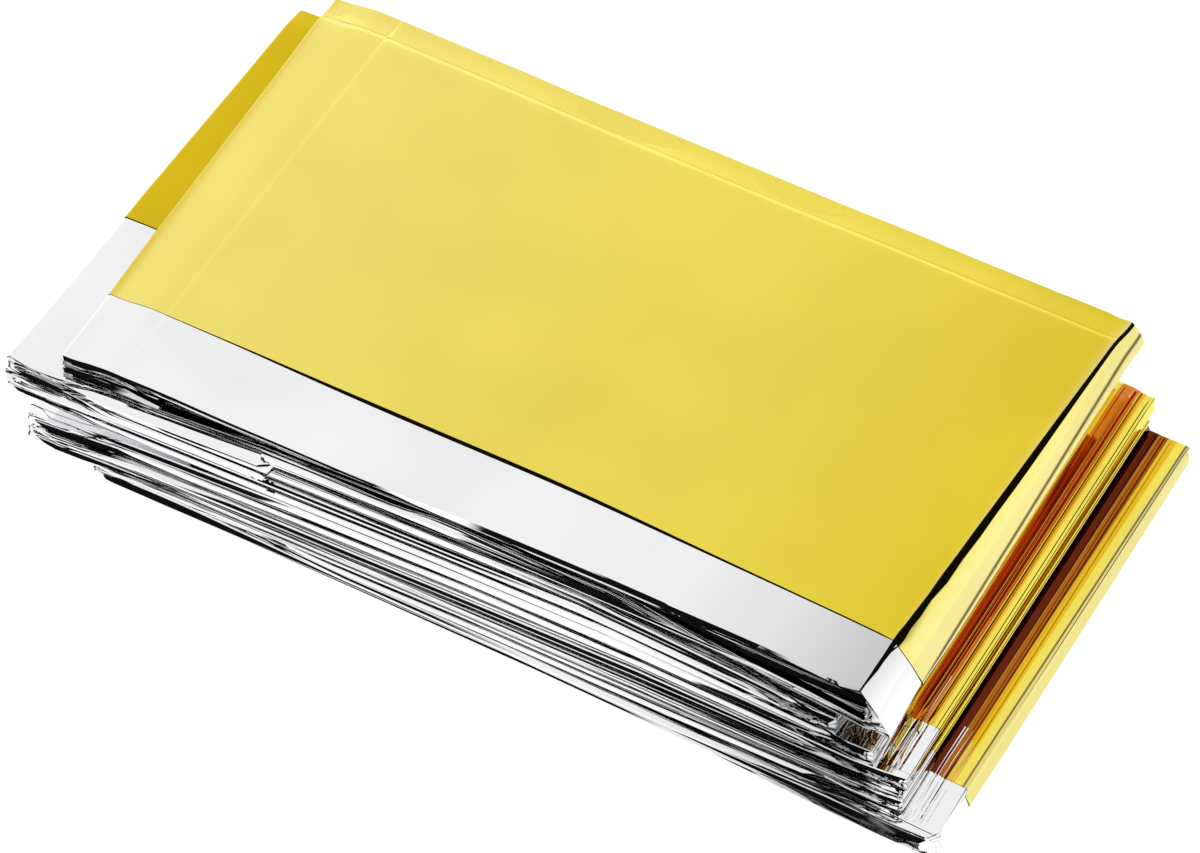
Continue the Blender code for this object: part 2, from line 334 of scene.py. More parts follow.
# ---- The pleats ----
# They join the films along the strip's front and back edges. The first front pleat joins films 1
# and 2, and the first back pleat joins films 0 and 1. Films 0 and 25 end in a flap each, short of
# the front edge. A `level` is how deep in the strip a film lies, from 0 at its upper face to 1, as
# the strip lies in the top panel. Heights of pleats are shares of the strip's thickness.
FRONT_PLEATS, BACK_PLEATS = 12, 13
FRONT_UNEVENNESS, BACK_UNEVENNESS = 2.8, 1.4  # how much the pleats of one panel differ in size
SHARE_OF_GAPS = 0.14  # how much of the strip's thickness lies between its pleats
STRIP_THICK = 1.35  # roughly how thick the strip is
BACK_REACH = 0.6  # how far the back pleats stand out, for each millimetre of the front ones
HOLLOW_EVENNESS, HOLLOW_LEAN, HOLLOW_BROW = 0.6, 0.7, 1.45
BIG_PLEATS, BIG_GROWTH = (2, 7), 3.4  # the front pleats that widen beside every fold
TOP_PLEAT_GROWTH, TOP_PLEAT_BROW = 2.4, 0.85  # the first front pleat of the top panel
LOOP_PLEAT = 5  # the front pleat that stands out as a loop
LOOP_GROWTH, LOOP_REACH, LOOP_BROW = 5.0, 1.3, 0.12
STAGGER_FIRST, STAGGER_RISE = -0.3, 1.5
INNER_BACK, INNER_BACK_AT_FIRST_FOLD, FIRST_FOLD_REACH = 0.8, 0.6, 14.0

rng = np.random.RandomState(7)


def wander(waves, longest, shortest):
    """A random curve along the strip, between about -1 and 1, from waves of those lengths."""
    total = np.zeros(ALONG)
    for _ in range(waves):
        length = math.exp(rng.uniform(math.log(shortest), math.log(longest)))
        total += np.sin(2 * math.pi * (arc / length + rng.rand())) / waves**0.5
    return total


def pleat_sizes(count, unevenness):
    """For each pleat and row, the logarithm of its size. A few pleats of each panel are big."""
    return np.array([
        along_panels(rng.normal(0, unevenness, PANELS))
        + 0.3 * wander(3, 160, 40)
        + 0.2 * near_turn * wander(3, 20, 6)
        for _ in range(count)
    ])


def pleat_shapes(sizes):
    """For each pleat and row, its height and how far it stands out past the strip's edge."""
    heights = np.exp(sizes)
    heights /= heights.sum(axis=0)
    ripple = np.array([0.1 * wander(3, 90, 25) + 0.12 * near_turn * wander(3, 14, 5) for _ in sizes])
    reaches = np.clip(-0.1 + 0.5 * np.log(heights * 4) + ripple, -1.9, 0.3)
    return heights, reaches


on_loop_panel = np.isin(row_panel, list(LOOP_PANELS)) * smooth(row_x, -70, -52)
is_loop = on_loop_panel * (row_x < LOOP_END_X) * (row_turned == 0)
big_at_left = smooth(-row_x, 50, 60)
big_at_right = smooth(row_x, -12, 2) * (1 - 0.8 * smooth(row_x, 15, 60))

front_sizes = pleat_sizes(FRONT_PLEATS, FRONT_UNEVENNESS)
front_sizes *= 1 - HOLLOW_EVENNESS * hollow
for pleat in BIG_PLEATS:
    front_sizes[pleat] += BIG_GROWTH * hollow
front_sizes[0] += TOP_PLEAT_GROWTH * top_panel * (big_at_left + big_at_right)
front_sizes[LOOP_PLEAT] += LOOP_GROWTH * is_loop
front_heights, front_reaches = pleat_shapes(front_sizes)
back_heights, back_reaches = pleat_shapes(pleat_sizes(BACK_PLEATS, BACK_UNEVENNESS))
back_reaches = back_reaches * BACK_REACH
front_reaches[LOOP_PLEAT] += LOOP_REACH * is_loop

# under the top panel's front edge the lower films stand out more, towards the right
stagger = along_panels([1.0, 0.6] + [0.0] * (PANELS - 2)) * smooth(row_x, -30, 55)
down_the_strip = np.arange(FRONT_PLEATS)[:, None] / (FRONT_PLEATS - 1)
front_reaches = front_reaches + stagger * (down_the_strip * STAGGER_RISE + STAGGER_FIRST)

# beside a fold the inner pleats stand back, so that its end looks hollow
inner = np.sin(math.pi * np.linspace(0.0, 1.0, FRONT_PLEATS)) ** 0.5
at_first_fold = np.exp(-from_turn[:, 1] / FIRST_FOLD_REACH)
stands_back = INNER_BACK * near_turn + INNER_BACK_AT_FIRST_FOLD * at_first_fold
front_reaches = front_reaches - inner[:, None] * stands_back

# how each pleat's face leans, and how far its upper side is drawn back, for its height
front_lean = [0.5 * rng.uniform(-1, 1) + 0.2 * wander(2, 150, 60) for _ in range(FRONT_PLEATS)]
front_brow = [
    np.clip(0.3 + 0.6 * along_panels(rng.rand(PANELS) ** 2) + 0.2 * wander(3, 120, 40), 0.1, 1.2)
    for _ in range(FRONT_PLEATS)
]
front_brow[0] = blend(front_brow[0], TOP_PLEAT_BROW, top_panel)
front_lean = [blend(lean, HOLLOW_LEAN, hollow) for lean in front_lean]
front_brow = [blend(brow, HOLLOW_BROW, hollow) for brow in front_brow]
front_lean[LOOP_PLEAT] = blend(front_lean[LOOP_PLEAT], 0.0, is_loop)
front_brow[LOOP_PLEAT] = blend(front_brow[LOOP_PLEAT], LOOP_BROW, is_loop)
back_lean = [0.4 * rng.uniform(-1, 1) + 0.2 * wander(2, 150, 60) for _ in range(BACK_PLEATS)]
back_brow = [np.clip(0.3 + 0.3 * wander(3, 120, 40), 0.1, 1.0) for _ in range(BACK_PLEATS)]


def pleat_levels(heights, first_film):
    """The level of each film at its pleat."""
    levels = {}
    depth = np.zeros(ALONG)
    gap = SHARE_OF_GAPS / (len(heights) + 1)
    for pleat, height in enumerate(heights):
        depth = depth + gap
        levels[first_film + 2 * pleat] = depth
        depth = depth + height * (1 - SHARE_OF_GAPS)
        levels[first_film + 2 * pleat + 1] = depth
    return levels


def half_height(heights, pleat):
    """Half of a pleat's height, in millimetres."""
    return heights[pleat] * (1 - SHARE_OF_GAPS) * STRIP_THICK / 2


at_front = pleat_levels(front_heights, 1)
at_back = pleat_levels(back_heights, 0)

# ---- The columns of the film's grid ----
# A station is a place across a film, from its back end at 0 to its front end at 1.
ROLL_STATION = 0.9935  # where a flap's edge starts to roll down
SILVER_FROM = 0.76  # from here forwards the inner films show their silver side
FLAP_STATIONS = (
    0.0, 0.01, 0.025, 0.045, 0.059, 0.0605, BACK_GROOVE_STATION, 0.0635, 0.078, 0.10, 0.13, 0.18, 0.24,
    0.31, 0.38, 0.45, 0.52, 0.59, 0.66, 0.73, 0.80, 0.86, 0.91, 0.95, 0.977, ROLL_STATION, 1.0,
)
BAND_STATIONS = (
    0.0, 0.015, 0.055, 0.2, 0.5, SILVER_FROM, 0.81, 0.84, 0.865, 0.89, 0.915, 0.94, 0.96, 0.98,
    0.99, 1.0,
)
FILM_STATIONS = (0.0, 0.015, 0.055, 0.2, 0.5, SILVER_FROM, 0.9, 0.985, 1.0)
CREASED_STATIONS = (0.0, BACK_GROOVE_STATION, ROLL_STATION, 1.0)
UPPER_FLAP, LOWER_FLAP = 0, FILMS - 1
BANDS = (1, FILMS - 2)  # the films whose silver side shows beyond a flap's edge

FLAP_ROLL = 0.62  # how far back a flap's edge starts to roll, for each millimetre it is raised
FLAP_LEAST_RAISED = 0.02
FLAP_END_LEVEL = 0.07  # a flap's edge lies this deep, on the film below it
FLAP_EASES_FROM = 0.86
UNDER_BROW = 0.25  # how far a pleat's downward side is drawn back, for its height
PLEAT_LINE = 0.8  # where a pleat's outer lines run, from its middle at 0 to its end at 1
INNER_LEVELS = (0.12, 0.76)  # the level of film 1 away from the edges, and how far the others go on
SPREAD = 0.2  # how much of LAYER_GAP loose films take up
FAN = 0.8  # how much of the air in an open fold the films fan out into
ROOM = 1.7  # roughly how thick the strip is with its loose films

flap_short = blend(*FLAP_SHORT_OF_FRONT, np.clip(row_x / PANEL_LENGTH + 0.5, 0, 1))
flap_share = 1 - flap_short / STRIP_WIDTH
lower_flap_share = np.full(ALONG, 1 - LOWER_FLAP_SHORT / STRIP_WIDTH)
flap_middle = smooth(row_x, -58, -15) * (1 - 0.75 * smooth(row_x, 5, 58))
flap_raised = top_panel * (0.01 + 0.42 * flap_middle)
in_first_fold = along_panels([1.0, 1.0] + [0.0] * (PANELS - 2))
# how much taller the front pleats are where the first fold's air is spread among them
drawn_out = 1 + in_first_fold * FAN * fold_air(0, row_x, HALF_WIDTH) / 2 / ROOM


class Column(NamedTuple):
    share: np.ndarray  # this and the next four have a value for each row
    level: np.ndarray
    fan: np.ndarray  # how far through the air of an open fold it lies, from 0 to 1
    silver: np.ndarray
    lift: np.ndarray
    sharp: bool


columns = []


def add_column(share, level, fan, silver, lift, sharp):
    for_each_row = [np.broadcast_to(value, ALONG) for value in (fan, silver, lift)]
    columns.append(Column(share, level, *for_each_row, sharp))


def film_level(film, share):
    first, further = INNER_LEVELS
    inner = first + further * (film - 1) / (FILMS - 3)
    level = {UPPER_FLAP: 0.0, LOWER_FLAP: 1.0}.get(film, inner)
    level = blend(level, at_back[film], 1 - smooth(share, 0.0, 0.13))
    if film in at_front:
        level = blend(level, at_front[film], smooth(share, 0.86, 1.0))
    return level


def film_fan(film, share):
    """How far through the air a film lies. Films of one pleat keep together, so that the air is
    between the pleats."""
    of_back_pleat = (film // 2 + 0.5) / BACK_PLEATS
    of_front_pleat = 0.0 if film == UPPER_FLAP else 1.0
    if film in at_front:
        of_front_pleat = ((film - 1) // 2 + 0.5) / FRONT_PLEATS
        if film > 2:
            of_front_pleat = blend(of_front_pleat, at_front[film], in_first_fold)
    return blend(of_back_pleat, of_front_pleat, smooth(share, 0.3, 0.7))


def film_span(film):
    """The shares at which a film starts, at the back, and ends."""
    at_start = film // 2
    start = -(back_reaches[at_start] - 1.1 * half_height(back_heights, at_start)) / STRIP_WIDTH
    if film == UPPER_FLAP:
        return start, flap_share
    if film == LOWER_FLAP:
        return start, lower_flap_share
    at_end = (film - 1) // 2
    drawn_back = (0.5 + front_brow[at_end]) * half_height(front_heights, at_end)
    return start, 1.0 + (front_reaches[at_end] - drawn_back) / STRIP_WIDTH


def shows_silver(film, station):
    if film == UPPER_FLAP:
        return (on_panel == 1) & (row_x > 0) & (station >= 0.6)
    if film < FILMS - 2:
        return station >= SILVER_FROM
    in_a_fold = np.where(row_x > 0, np.isin(on_panel, (0, 1)), np.isin(on_panel, (4, 5)))
    return (in_a_fold & (station >= 0.2)) | (station >= 0.5 and film != LOWER_FLAP)


def flap_lift(station):
    """How far the upper flap is raised, beside its edge most of all, and sunk at the back groove."""
    if station == BACK_GROOVE_STATION:
        return -GROOVE_DEPTH * top_panel
    return flap_raised * smooth(station, 0.86, 0.975) * (1 - 0.95 * smooth(station, 0.994, 1.0))


def film_columns(film):
    start, end = film_span(film)
    is_flap = film in (UPPER_FLAP, LOWER_FLAP)
    if is_flap:
        stations = FLAP_STATIONS
    else:
        stations = BAND_STATIONS if film in BANDS else FILM_STATIONS
    if film % 2 == 0:
        stations = stations[::-1]
    for station in stations:
        share = blend(start, end, station)
        if station == ROLL_STATION:
            share = end - FLAP_ROLL * (flap_raised + FLAP_LEAST_RAISED) / STRIP_WIDTH
        level = film_level(film, share)
        if is_flap:
            end_level = FLAP_END_LEVEL if film == UPPER_FLAP else 1 - FLAP_END_LEVEL
            level = blend(level, end_level, smooth(station, FLAP_EASES_FROM, 1.0))
        fan = film_fan(film, share)
        lift = flap_lift(station) if film == UPPER_FLAP else 0.0
        add_column(share, level, fan, shows_silver(film, station), lift, station in CREASED_STATIONS)


def pleat_columns(in_front, pleat):
    """The three lines that round a pleat over, from one film to the next."""
    if in_front:
        film, levels, edge_share, outwards = 2 * pleat + 1, at_front, 1.0, 1
        heights, reaches = front_heights, front_reaches
        lean, brow = front_lean[pleat], front_brow[pleat]
    else:
        film, levels, edge_share, outwards = 2 * pleat, at_back, 0.0, -1
        heights, reaches = back_heights, back_reaches
        lean, brow = back_lean[pleat], back_brow[pleat]
    centre = (levels[film] + levels[film + 1]) / 2
    half = (levels[film + 1] - levels[film]) / 2
    upwards = np.where(row_panel % 2 == 0, -1.0, 1.0)  # every other panel lies upside down
    for line in (-PLEAT_LINE, 0.0, PLEAT_LINE):
        if line:
            level = centre + half * line
            drawn_back = np.where(line * upwards > 0, brow, UNDER_BROW)
        else:
            level = centre + half * (lean * PLEAT_LINE)
            drawn_back = 0.0
        fan = (pleat + 0.5) / len(heights)
        if in_front:
            drawn_back = drawn_back * drawn_out
            fan = blend(fan, level, in_first_fold)
        reach = reaches[pleat] - drawn_back * half_height(heights, pleat)
        share = edge_share + outwards * reach / STRIP_WIDTH
        add_column(share, level, fan, in_front, 0.0, True)


# films 0 and 1 have more rows, and so has film 2 beside its front pleat; the lowest likewise
for film in range(FILMS):
    if film == 2:
        last_upper = len(columns) + 2
    film_columns(film)
    if film == FILMS - 3:
        first_lower = len(columns) - 3
    if film < FILMS - 1:
        pleat_columns(film % 2 == 1, film // 2)
ACROSS = len(columns)

shares = np.array([column.share for column in columns])
levels = np.array([column.level for column in columns])
lifts = np.array([column.lift for column in columns])
fans = np.array([column.fan for column in columns])

# ---- The points of the film's grid ----
LIFT, LOWEST = 0.1, 0.02  # the pack is raised by LIFT, and no film lies below LOWEST
SWELL_WAVES, SWELL_LENGTHS, SWELL_HEIGHT = 9, (22, 75), 0.0011
FULL_SWELL_FROM = 15  # the swell grows up to this height
CREASE_RADIUS = 0.45
LEAST_APART = 0.02  # the least height of a turn
BUNCHES, BUNCHES_APART, BUNCH_RUN = 4, (0.2, 0.7), 0.06

# For each fold, from the one above the tuck down. DENTS: how far its outer face is pushed in, or out
# where it is less than 0. An open fold's face leans back as it rises: SLOPES says by how much, and
# CLOSED_HEIGHTS from which height of the fold. DRAWN_IN: how much its films close up at the front.
DENTS = [0.0, -0.15, 0.15, 0.3, 0.15, 0.35, 0.2, 0.35, 0.2, 0.3, 0.2, 0.4]
OPEN_FOLD = 1
SLOPES = [0.5, 0.85] + [0.5] * (PANELS - 2)
CLOSED_HEIGHTS = [2.8, 1.4] + [2.8] * (PANELS - 2)
DRAWN_IN = [0.5, 0.25] + [0.5] * (PANELS - 3) + [0.7]
TOP_PANEL_STOPS_SHORT = 0.4
TUCK_STOPS_SHORT, TUCK_END_PINCH = 0.5, 0.1
BEVEL_TILT = math.radians(44)  # the open fold's upper crease is pressed flat, as a narrow face


def offset(panel, level, fan, x, front, thick):
    """How far above the middle of a panel a film lies. Films fan out into the air of a fold."""
    below = FAN * fold_air(panel, x, front) / 2 if panel < len(FOLDS) else 0.0
    above = FAN * fold_air(panel - 1, x, front) / 2 if panel > 0 else 0.0
    room = thick + SPREAD
    if panel % 2 == 0:
        return room * (0.5 - level) - below * fan**1.5 + above * (1 - fan) ** 1.5
    return -(room * (0.5 - level) - above * fan**1.5 + below * (1 - fan) ** 1.5)


def film_height(panel, level, fan, x, front):
    thick, heights = stack(x, front)
    if panel == TUCKED:
        return heights[TUCKED] - (thick + SPREAD) * (0.5 - level)
    return heights[panel] + offset(panel, level, fan, x, front, thick)


def pulled_back(fold, level, share, thick):
    """How far short of the outermost film's tip a film turns. Films turn in a few bunches."""
    depth = level if fold % 2 == 1 or fold == 0 else 1 - level
    depth = np.clip(depth, 0, 1)
    bunch_rng = np.random.RandomState(100 + fold)
    back = depth * (thick + SPREAD)
    for _ in range(BUNCHES):
        apart = bunch_rng.uniform(*BUNCHES_APART)
        after = bunch_rng.uniform(0.1, 0.9)
        back = back + apart * smooth(depth, after, after + BUNCH_RUN)
    opened = blend(*ENDS[fold].get("opened", (0.0, 0.0)), np.clip(share, 0, 1))
    drawn_in = DRAWN_IN[fold] * smooth(share, 0.85, 0.97)
    return (back + depth * opened * 0.5) * (1 - drawn_in)


def turned_x(fold, level, share, front):
    """Where a film turns, leaving out the lean of an open fold."""
    tip = tip_x(fold, share)
    thick, _ = stack(tip, front)
    return tip - np.sign(tip) * pulled_back(fold, level, share, thick)


def directions(before, corner, after):
    """The unit directions into each corner and out of it, and the angle between them."""
    into = corner - before
    out_of = after - corner
    into = into / np.linalg.norm(into, axis=1)[:, None]
    out_of = out_of / np.linalg.norm(out_of, axis=1)[:, None]
    angle = np.arccos(np.clip((into * out_of).sum(axis=1), -1, 1))
    return into, out_of, angle


def corner_arc(before, corner, after, radius):
    """Points on an arc in place of each corner. The arrays have a row (x, height) for each film."""
    into, out_of, whole = directions(before, corner, after)
    side = np.sign(into[:, 0] * out_of[:, 1] - into[:, 1] * out_of[:, 0])
    start = corner - into * (radius * np.tan(whole / 2))[:, None]
    centre = start + (side * radius)[:, None] * np.stack([-into[:, 1], into[:, 0]], axis=1)
    spoke_x, spoke_z = (start - centre).T
    steps = []
    for step in range(ARC_STEPS + 1):
        angle = side * whole * step / ARC_STEPS
        cos, sin = np.cos(angle), np.sin(angle)
        turned_spoke = np.stack([cos * spoke_x - sin * spoke_z, sin * spoke_x + cos * spoke_z], axis=1)
        steps.append(centre + turned_spoke)
    return steps


def bevel(before, corner, after, width):
    """Points on a flat face in place of each corner."""
    into, out_of, angle = directions(before, corner, after)
    tilt = np.minimum(BEVEL_TILT, 0.9 * angle)
    start = corner - into * (width * np.sin(angle - tilt) / np.sin(angle))[:, None]
    end = corner + out_of * (width * np.sin(tilt) / np.sin(angle))[:, None]
    return [blend(start, end, step / ARC_STEPS) for step in range(ARC_STEPS + 1)]


def bevel_width(share):
    ragged = 0.18 * (np.sin(share * 47) + np.sin(share * 83)) * smooth(share, 0.5, 0.6)
    return (0.6 + 0.6 * smooth(share, 0.05, 0.45) + ragged) * (1 - 0.75 * smooth(share, 0.84, 0.99))


class Turn:
    """The turn of every film round one fold: an upper crease, a leg and a lower crease."""

    def __init__(self, fold, share, level, fan):
        self.fold = fold
        self.front = front_of(fold, share)
        self.outwards = 1.0 if fold % 2 == 1 else -1.0
        tip = tip_x(fold, share)
        thick, _ = stack(tip, self.front)
        x = tip - self.outwards * pulled_back(fold, level, share, thick)
        upper, lower = (fold - 1, fold) if fold else (0, TUCKED)
        low = film_height(lower, level, fan, x, self.front)
        high = film_height(upper, level, fan, x, self.front)
        lean = SLOPES[fold] * np.maximum(high - low - CLOSED_HEIGHTS[fold], 0.0)
        upper_x = x - self.outwards * lean
        apart = np.maximum(film_height(upper, level, fan, upper_x, self.front) - low, LEAST_APART)
        radius = np.minimum(CREASE_RADIUS, 0.48 * apart)
        upper_corner = np.stack([upper_x, low + apart], axis=1)
        lower_corner = np.stack([x, low], axis=1)
        inwards = np.stack([-self.outwards * np.full_like(x, PANEL_LENGTH), np.zeros_like(x)], axis=1)
        if fold == OPEN_FOLD:
            width = np.minimum(bevel_width(share), 0.45 * apart)
            self.upper = bevel(upper_corner + inwards, upper_corner, lower_corner, width)
        else:
            self.upper = corner_arc(upper_corner + inwards, upper_corner, lower_corner, radius)
        self.lower = corner_arc(upper_corner, lower_corner, lower_corner + inwards, radius)
        self.dent = DENTS[fold] * np.clip((apart - 2 * radius) / 1.6, 0, 1)

    def at(self, place):
        """The x, front and height of each film. The strip comes up round the fold above the tuck,
        and goes down round the others."""
        part, where = place
        if part == "leg":
            where = 1 - where if self.fold == 0 else where
            point = blend(self.upper[-1], self.lower[0], where)
            point[:, 0] -= self.outwards * self.dent
        elif self.fold == 0:
            creases = {"first": self.lower, "last": self.upper}
            point = creases[part][ARC_STEPS - where]
        else:
            creases = {"first": self.upper, "last": self.lower}
            point = creases[part][where]
        return point[:, 0], self.front, point[:, 1]


def tuck_points(place, share, level):
    """The tucked end, which thins out to a wedge where the room for it closes up."""
    front = front_of(0, share)
    free_end = TUCK_ROOM_ENDS - TUCK_STOPS_SHORT - HALF_LENGTH
    x = blend(free_end, turned_x(0, level, share, front), place)
    thick, heights = stack(x, front)
    pinch = blend(TUCK_END_PINCH, 1.0, tuck_room(x))
    z = heights[0] - thick / 2 - LAYER_GAP / 2 - (thick / 2 + LAYER_GAP / 2) * pinch
    return x, front, z - (thick + SPREAD) * (0.5 - level) * pinch


def panel_points(row, share, level, fan):
    panel, place = row.panel, row.place
    front = front_along(panel, share, place)
    from_x = turned_x(panel, level, share, front)
    if panel < PANELS - 1:
        to_x = turned_x(panel + 1, level, share, front)
    else:
        to_x = tip_x(panel + 1, share)
    if panel == 0:
        thick, heights = stack(to_x, front)
        open_height = np.maximum(heights[0] - heights[1] + thick - CLOSED_HEIGHTS[OPEN_FOLD], 0.0)
        to_x = to_x - SLOPES[OPEN_FOLD] * open_height - TOP_PANEL_STOPS_SHORT
        from_groove = abs(TOP_PANEL_RUN * place - LEFT_GROOVE)
        slant = LEFT_GROOVE_SLANT / TOP_PANEL_RUN * np.clip(1 - from_groove / SLANT_REACH, 0, 1)
        place = place - slant * np.clip(share, 0, 1)
    x = blend(from_x, to_x, place)
    return x, front, film_height(panel, level, fan, x, front)


def faded_lift(lift, share):
    """A row's lift, which fades out towards the front edge."""
    return lift * (1 - 0.5 * smooth(share, 0.83, 0.87)) * (1 - smooth(share, 0.93, 0.98))


points = np.zeros((ACROSS, ALONG, 3))
for number, row in enumerate(rows):
    share, level, fan = shares[:, number], levels[:, number], fans[:, number]
    if row.kind == "tuck":
        x, front, z = tuck_points(row.place, share, level)
    elif row.kind == "panel":
        x, front, z = panel_points(row, share, level, fan)
        z = z + lifts[:, number] + faded_lift(row.lift, share)
    else:
        if row.place == TURN_PLACES[0]:
            middle = number + len(TURN_PLACES) // 2
            turn = Turn(row.panel + 1, shares[:, middle], levels[:, middle], fans[:, middle])
        x, front, z = turn.at(row.place)
    points[:, number] = np.stack([x, front, z], axis=1)


def undulation(points):
    """A slow swell of the whole pack, so that its faces aren't flat."""
    swell_rng = np.random.RandomState(11)
    total = np.zeros(points.shape[:-1])
    for _ in range(SWELL_WAVES):
        length = swell_rng.uniform(*SWELL_LENGTHS)
        angle = swell_rng.uniform(0, math.pi)
        phase = swell_rng.uniform(0, 2 * math.pi)
        across = points[..., 0] * math.cos(angle) + points[..., 1] * math.sin(angle)
        total += np.sin(2 * math.pi * across / length + phase) * length
    return total * SWELL_HEIGHT


points[..., 2] += LIFT + undulation(points) * np.clip(points[..., 2] / FULL_SWELL_FROM, 0, 1)
points[..., 2] = np.maximum(points[..., 2], LOWEST)

# ---- The mesh ----
row_numbers = {
    films: np.array([number for number, row in enumerate(rows) if row.films in (EVERY_FILM, films)])
    for films in (EVERY_FILM, UPPER_FILMS, LOWER_FILMS)
}


def films_of(column):
    if column <= last_upper:
        return UPPER_FILMS
    return LOWER_FILMS if column >= first_lower else EVERY_FILM


vertex_at = np.full((ACROSS, ALONG), -1)
vertex_count = 0
for column in range(ACROSS):
    own_rows = row_numbers[films_of(column)]
    vertex_at[column, own_rows] = np.arange(vertex_count, vertex_count + len(own_rows))
    vertex_count += len(own_rows)
has_vertex = vertex_at >= 0
x, front, z = points[has_vertex].T
vertices = np.stack([x - MIDDLE_X, MIDDLE_FRONT - front, z], axis=1) * MM


def vertices_between(column, start, end):
    return [vertex for vertex in vertex_at[column, start:end + 1].tolist() if vertex >= 0]


# where a column with more rows meets one with fewer, faces have more than four corners
faces = []
face_materials = []
for column in range(ACROSS - 1):
    here, there = films_of(column), films_of(column + 1)
    shared = row_numbers[here if here == there else EVERY_FILM]
    silver = (columns[column].silver & columns[column + 1].silver).astype(int)
    for start, end in zip(shared[:-1], shared[1:]):
        far_side = vertices_between(column + 1, start, end)[::-1]
        faces.append(vertices_between(column, start, end) + far_side)
    face_materials += silver[shared[:-1]].tolist()

mesh = bpy.data.meshes.new("foil_film")
mesh.from_pydata(vertices.tolist(), [], faces)
mesh.polygons.foreach_set("material_index", np.array(face_materials, dtype=np.int32))
mesh.update()
mesh.shade_smooth()

# the sharp edges are the lines along pleats and cut edges, the ledges, and the edges of the bevel
BEVEL_EDGES = (("first", 0), ("first", ARC_STEPS))
sharp_columns = np.array([column.sharp for column in columns])
sharp_rows = np.array([
    row.sharp or (row.kind == "turn" and row.panel == OPEN_FOLD - 1 and row.place in BEVEL_EDGES)
    for row in rows
])
column_of, row_of = np.nonzero(has_vertex)
edge_ends = np.zeros(len(mesh.edges) * 2, dtype=np.int32)
mesh.edges.foreach_get("vertices", edge_ends)
one_end, other_end = edge_ends.reshape(-1, 2).T
runs_along = column_of[one_end] == column_of[other_end]
is_sharp = np.where(runs_along, sharp_columns[column_of[one_end]], sharp_rows[row_of[one_end]])
sharp_edges = mesh.attributes.new("sharp_edge", "BOOLEAN", "EDGE")
sharp_edges.data.foreach_set("value", is_sharp.astype(bool))
film_object = bpy.data.objects.new("foil_film", mesh)
scene.collection.objects.link(film_object)

# ---- Materials ----
GOLD_ROUGHNESS, GOLD_CLOUDINESS = 0.05, 0.08
SILVER_ROUGHNESS, SILVER_CLOUDINESS = 0.035, 0.1
CLOUD_SCALE, CLOUD_DETAIL = 28.0, 2.0
CLOUDS_FROM, CLOUDS_TO = 0.35, 0.65

# painted light along X: the gold is paler where painted highlights stand in for bright reflections,
# at the left border and on the right fold's slope, and deeper gold where painted shade stands in for
# darker reflections, at the left fold and towards the right; each place has its colour
PAINTED_LIGHT_TO = 80.0
GOLD_WITH_PAINTED_LIGHT = [
    (-70.0, (0.70, 0.50, 0.012)),
    (-68.0, (0.93, 0.78, 0.20)),
    (-50.0, (0.93, 0.78, 0.17)),
    (0.0, (0.88, 0.73, 0.11)),
    (35.0, (0.84, 0.69, 0.075)),
    (61.5, (0.79, 0.60, 0.035)),
    (64.0, (0.84, 0.74, 0.26)),
    (72.0, (0.78, 0.74, 0.38)),
    (76.0, (0.82, 0.71, 0.21)),
]
# the silver darkens with painted shade towards the right fold, and is bright again past it
SILVER_WITH_PAINTED_SHADE = [
    (-70.0, (0.93, 0.93, 0.94)),
    (0.0, (0.94, 0.94, 0.95)),
    (30.0, (0.89, 0.89, 0.90)),
    (45.0, (0.80, 0.80, 0.81)),
    (62.0, (0.60, 0.60, 0.61)),
    (66.0, (0.93, 0.93, 0.94)),
]

# Painted light on the right side: the ledges are painted a clear yellow highlight, the gold between
# them painted shade from amber to brown, near black low down, and a dark painted shadow line runs
# beside the edges of two folds. Each region has its range along X, its range upwards and its colour.
# The X is at the strip's middle; the region slants as the right folds do.
GOLD_PAINTED_LIGHT_REGIONS = [
    ((62.0, 75.3), (0.5, 12.0), (0.95, 0.80, 0.115)),
    ((54.0, 63.0), (5.5, 14.0), (0.72, 0.27, 0.012)),
    ((64.6, 67.4), (7.4, 12.5), (0.70, 0.23, 0.04)),
    ((67.6, 68.4), (7.4, 12.5), (0.86, 0.50, 0.04)),
    ((65.9, 65.95), (12.5, 22.0), (0.12, 0.08, 0.02)),
    ((64.0, 71.3), (0.0, 5.0), (0.13, 0.02, 0.006)),
    ((71.5, 72.7), (0.0, 5.0), (0.44, 0.13, 0.012)),
    ((73.0, 74.1), (0.0, 5.0), (0.85, 0.52, 0.02)),
    ((75.65, 75.7), (0.0, 5.5), (0.12, 0.07, 0.02)),
]
FOLD_SLANT = 0.032
SIDE_EDGE, LEVEL_EDGE = 0.2, 0.8  # how softly a region ends along X and upwards


